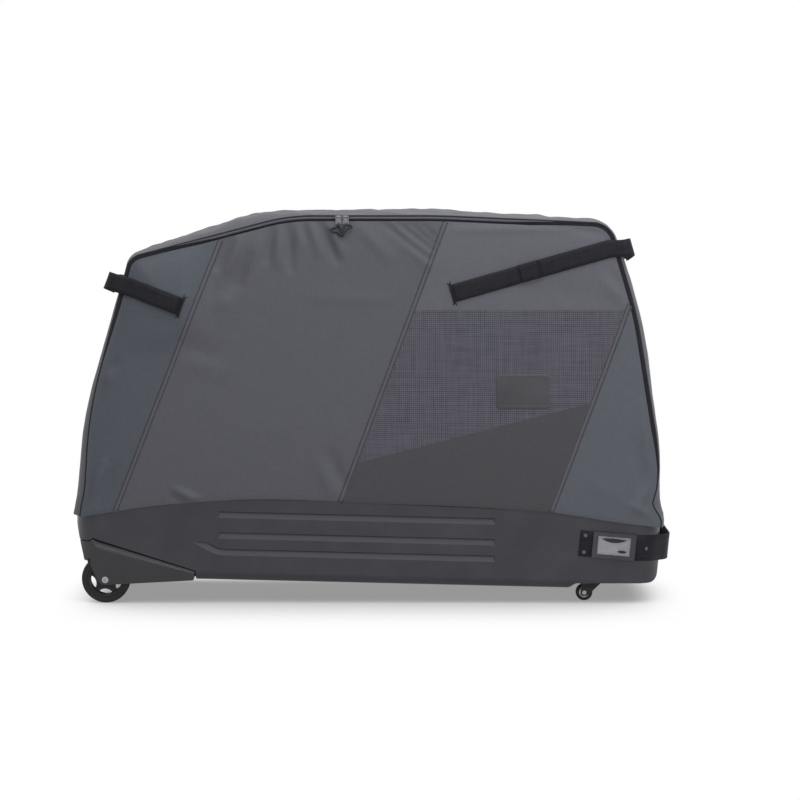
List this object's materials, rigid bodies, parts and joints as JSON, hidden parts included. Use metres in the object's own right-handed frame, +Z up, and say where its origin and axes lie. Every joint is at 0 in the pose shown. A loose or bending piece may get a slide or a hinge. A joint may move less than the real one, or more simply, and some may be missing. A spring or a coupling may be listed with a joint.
{
  "type": "bike travel case",
  "caption": "Soft-top bike travel case on a hard moulded tub with rolling wheels, swivel casters, a zipped fold-down front, grab straps and an end handle.",
  "frame": {"origin": "on the floor under the middle of the case", "axes": "+X along the case towards the caster end, -Y towards the zipped front, +Z up"},
  "size_m": [1.2875, 0.2989, 0.8387],
  "materials": {
    "tub_plastic": "moulded, satin",
    "housing_plastic": "moulded, satin",
    "black_plastic": "moulded, satin",
    "pale_plastic": "moulded, gloss",
    "frame_plastic": "moulded, satin",
    "foam": "cloth-covered foam",
    "lining": "cloth-covered board",
    "main_cloth": "woven, coated",
    "side_cloth": "woven, coated",
    "print_cloth": "woven, dotted print",
    "dark_cloth": "woven, coated",
    "gusset_cloth": "woven, coated",
    "webbing": "woven webbing",
    "patch": "coated cloth patch",
    "zip_tape": "woven tape",
    "zip_chain": "moulded",
    "slider_metal": "die cast",
    "puller_rubber": "moulded",
    "bright_steel": "plated",
    "black_steel": "painted",
    "tyre": "moulded",
    "clear_window": "clear sheet",
    "card": "matt card"
  },
  "bodies": {
    "case": {"address_card": "card", "address_frame": "frame_plastic", "address_window": "clear_window", "axle_bolt_front": "bright_steel", "axle_bolt_rear": "bright_steel", "back_liner": "lining", "back_panel": "main_cloth", "caster_kingpins": "bright_steel", "caster_plate_front": "black_steel", "caster_plate_rear": "black_steel", "caster_screws": "bright_steel", "floor_pad": "foam", "front_skirt": "main_cloth", "handle_band": "webbing", "handle_rivets": "bright_steel", "left_gusset": "gusset_cloth", "right_gusset": "gusset_cloth", "rim_strip": "black_plastic", "strap_anchors": "webbing", "tie_anchor_plates": "black_plastic", "tie_buckles": "black_plastic", "tie_straps": "webbing", "top_gusset": "gusset_cloth", "tub": "tub_plastic", "wheel_housing_front": "housing_plastic", "wheel_housing_rear": "housing_plastic", "zip_chain_shell": "zip_chain", "zip_tape_shell": "zip_tape"},
    "front_flap": {"flap_liner": "lining", "flap_panel_centre": "main_cloth", "flap_panel_dark": "dark_cloth", "flap_panel_left": "side_cloth", "flap_panel_lower_right": "side_cloth", "flap_panel_print": "print_cloth", "flap_panel_upper_right": "main_cloth", "flap_patch": "patch", "zip_tape_flap": "zip_tape", "zip_chain_flap": "zip_chain", "grab_strap_left": "webbing", "grab_strap_right": "webbing"},
    "slider_left": {"zip_slider_left": "slider_metal"},
    "puller_left": {"zip_pull_left": "slider_metal", "pull_loop_left": "puller_rubber"},
    "slider_right": {"zip_slider_right": "slider_metal"},
    "puller_right": {"zip_pull_right": "slider_metal", "pull_loop_right": "puller_rubber"},
    "wheel_front": {"wheel_tyre_front": "tyre", "wheel_hub_front": "black_plastic", "wheel_bearings_front": "bright_steel"},
    "caster_front": {"caster_fork_front": "black_plastic", "caster_axle_front": "bright_steel"},
    "caster_wheel_front": {"caster_tyre_front": "tyre", "caster_hub_front": "pale_plastic"},
    "wheel_rear": {"wheel_tyre_rear": "tyre", "wheel_hub_rear": "black_plastic", "wheel_bearings_rear": "bright_steel"},
    "caster_rear": {"caster_fork_rear": "black_plastic", "caster_axle_rear": "bright_steel"},
    "caster_wheel_rear": {"caster_tyre_rear": "tyre", "caster_hub_rear": "pale_plastic"}
  },
  "joints": [
    {"name": "flap_fold", "type": "hinge", "parent": "case", "child": "front_flap", "pos_m": [0, -0.1445, 0.24], "axis": [1, 0, 0], "range_deg": [0, 105]},
    {"name": "zip_left_slide", "type": "slide", "parent": "front_flap", "child": "slider_left", "axis": [1, 0, 0], "range_m": [-0.045, 0]},
    {"name": "puller_left_swing", "type": "hinge", "parent": "slider_left", "child": "puller_left", "pos_m": [-0.066, -0.12898, 0.82772], "axis": [-1, 0, 0], "range_deg": [0, 150]},
    {"name": "zip_right_slide", "type": "slide", "parent": "front_flap", "child": "slider_right", "axis": [1, 0, 0], "range_m": [0, 0.15]},
    {"name": "puller_right_swing", "type": "hinge", "parent": "slider_right", "child": "puller_right", "pos_m": [-0.051, -0.12898, 0.82772], "axis": [-1, 0, 0], "range_deg": [0, 150]},
    {"name": "wheel_front_spin", "type": "hinge", "parent": "case", "child": "wheel_front", "pos_m": [-0.568, -0.122, 0.052], "axis": [0, 1, 0], "continuous": true},
    {"name": "caster_front_swivel", "type": "hinge", "parent": "case", "child": "caster_front", "pos_m": [0.484, -0.1, 0.04], "axis": [0, 0, 1], "continuous": true},
    {"name": "caster_front_spin", "type": "hinge", "parent": "caster_front", "child": "caster_wheel_front", "pos_m": [0.462, -0.1, 0.018], "axis": [0, 1, 0], "continuous": true},
    {"name": "wheel_rear_spin", "type": "hinge", "parent": "case", "child": "wheel_rear", "pos_m": [-0.568, 0.122, 0.052], "axis": [0, 1, 0], "continuous": true},
    {"name": "caster_rear_swivel", "type": "hinge", "parent": "case", "child": "caster_rear", "pos_m": [0.484, 0.1, 0.04], "axis": [0, 0, 1], "continuous": true},
    {"name": "caster_rear_spin", "type": "hinge", "parent": "caster_rear", "child": "caster_wheel_rear", "pos_m": [0.462, 0.1, 0.018], "axis": [0, 1, 0], "continuous": true}
  ]
}
